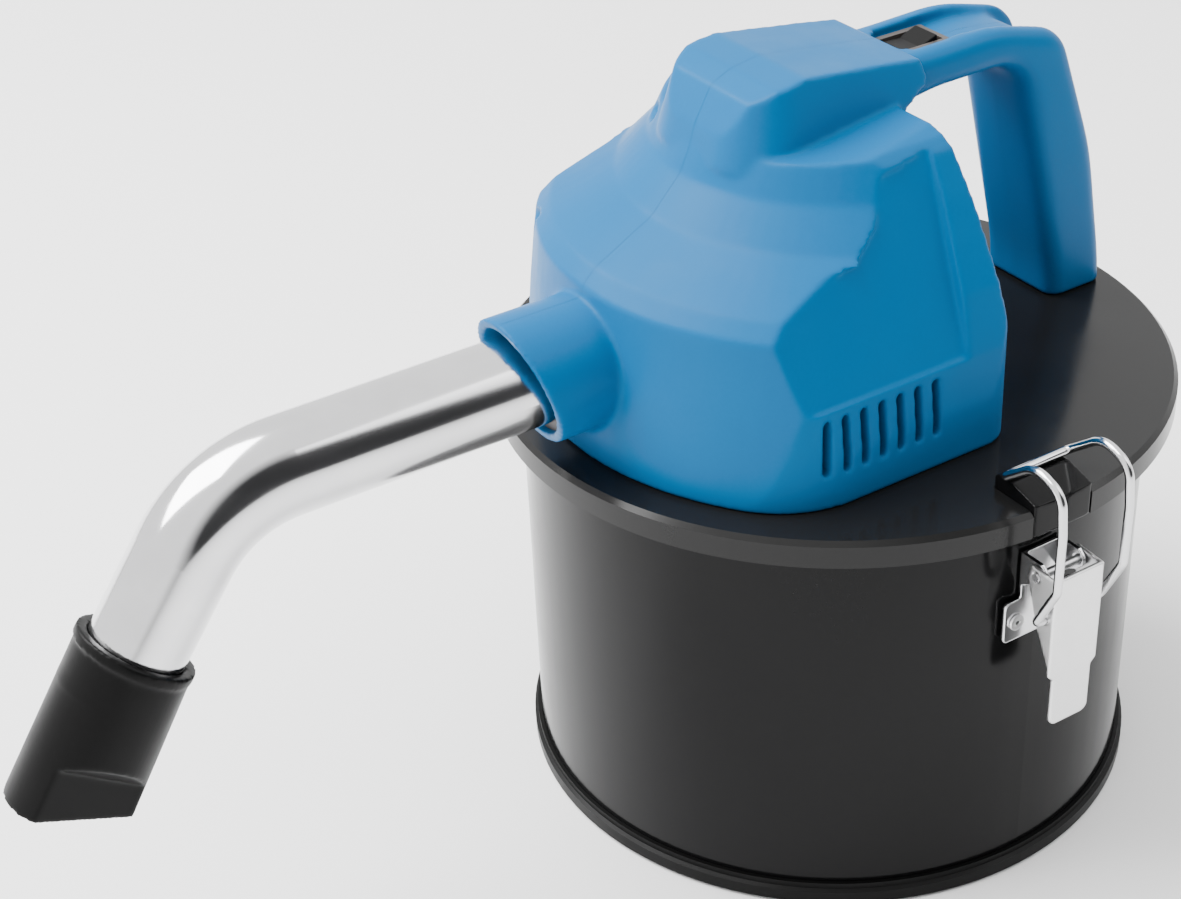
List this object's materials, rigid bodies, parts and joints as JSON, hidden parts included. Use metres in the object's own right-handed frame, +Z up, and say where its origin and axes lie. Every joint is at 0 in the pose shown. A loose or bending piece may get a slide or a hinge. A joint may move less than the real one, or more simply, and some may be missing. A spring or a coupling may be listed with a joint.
{
  "type": "shop vacuum",
  "caption": "Small canister shop vacuum: black steel drum, clamped lid, blue motor housing with carrying handle, and a bent suction tube with an angled nozzle",
  "frame": {"origin": "middle of the drum's underside, on the floor", "axes": "+Z up, -Y the way the suction tube points, +X and -X the latch sides"},
  "size_m": [0.2698, 0.4342, 0.277],
  "materials": {
    "blue_plastic": "satin moulded blue",
    "black_steel": "gloss black enamel",
    "lid_steel": "semi-gloss black enamel",
    "black_plastic": "fine matte",
    "grey_plastic": "fine matte",
    "chrome": "polished",
    "bright_steel": "bright plated",
    "steel": "plain ground",
    "rubber": "dull",
    "core_steel": "stacked sheet",
    "copper": "bare copper",
    "filter_paper": "pleated",
    "carbon": "carbon",
    "aluminium": "as cast"
  },
  "bodies": {
    "vacuum": {"base_cap": "black_plastic", "drum": "black_steel", "lid": "lid_steel", "lid_gasket": "rubber", "right_housing": "blue_plastic", "left_housing": "blue_plastic", "housing_screws": "steel", "lid_screws": "steel", "cord_gland": "rubber", "switch_frame": "grey_plastic", "inlet_elbow": "grey_plastic", "motor_mount_ring": "rubber", "fan_housing": "aluminium", "lower_bearing": "steel", "upper_bearing": "steel", "motor_base_plate": "aluminium", "motor_stator": "core_steel", "motor_bracket": "aluminium", "carbon_brushes": "carbon", "filter_spider": "steel", "filter_top_cap": "rubber", "filter_bottom_cap": "rubber", "filter_media": "filter_paper", "filter_rod": "steel", "filter_nut": "black_plastic", "right_latch_keeper": "black_steel", "right_latch_bracket": "chrome", "right_latch_pin": "steel", "right_latch_rivets": "bright_steel", "left_latch_keeper": "black_steel", "left_latch_bracket": "chrome", "left_latch_pin": "steel", "left_latch_rivets": "bright_steel"},
    "tube_bush": {"tube_bush": "grey_plastic"},
    "suction_tube": {"suction_tube": "chrome"},
    "nozzle": {"nozzle": "black_plastic"},
    "motor_rotor": {"motor_shaft": "steel", "fan_impeller": "aluminium", "armature": "core_steel", "armature_winding": "copper", "commutator": "copper"},
    "switch_rocker": {"switch_rocker": "black_plastic"},
    "right_lever": {"right_latch_lever": "bright_steel"},
    "left_lever": {"left_latch_lever": "bright_steel"},
    "right_bail": {"right_latch_bail": "chrome"},
    "left_bail": {"left_latch_bail": "chrome"}
  },
  "joints": [
    {"name": "tube_swivel", "type": "hinge", "parent": "vacuum", "child": "tube_bush", "pos_m": [0, -0.11, 0.19], "axis": [0, 1, 0], "range_deg": [-180, 180]},
    {"name": "tube_pull_out", "type": "slide", "parent": "tube_bush", "child": "suction_tube", "axis": [0, -1, 0], "range_m": [0, 0.03]},
    {"name": "nozzle_pull_off", "type": "slide", "parent": "suction_tube", "child": "nozzle", "axis": [0, -0.5934, -0.8049], "range_m": [0, 0.025]},
    {"name": "motor_spin", "type": "hinge", "parent": "vacuum", "child": "motor_rotor", "pos_m": [0, -0.025, 0.2], "axis": [0, 0, 1], "continuous": true},
    {"name": "switch_rock", "type": "hinge", "parent": "vacuum", "child": "switch_rocker", "pos_m": [0, 0.0315, 0.2623], "axis": [1, 0, 0], "range_deg": [-18, 0]},
    {"name": "right_lever_lift", "type": "hinge", "parent": "vacuum", "child": "right_lever", "pos_m": [0.12, 0, 0.133], "axis": [0, -1, 0], "range_deg": [0, 120]},
    {"name": "right_bail_swing", "type": "hinge", "parent": "right_lever", "child": "right_bail", "pos_m": [0.1245, 0, 0.119], "axis": [0, -1, 0], "range_deg": [-150, 0]},
    {"name": "left_lever_lift", "type": "hinge", "parent": "vacuum", "child": "left_lever", "pos_m": [-0.12, 0, 0.133], "axis": [0, 1, 0], "range_deg": [0, 120]},
    {"name": "left_bail_swing", "type": "hinge", "parent": "left_lever", "child": "left_bail", "pos_m": [-0.1245, 0, 0.119], "axis": [0, 1, 0], "range_deg": [-150, 0]}
  ],
  "couplings": [
    {"joint": "right_bail_swing", "follows": "right_lever_lift", "ratio": -1.25},
    {"joint": "left_bail_swing", "follows": "left_lever_lift", "ratio": -1.25}
  ]
}
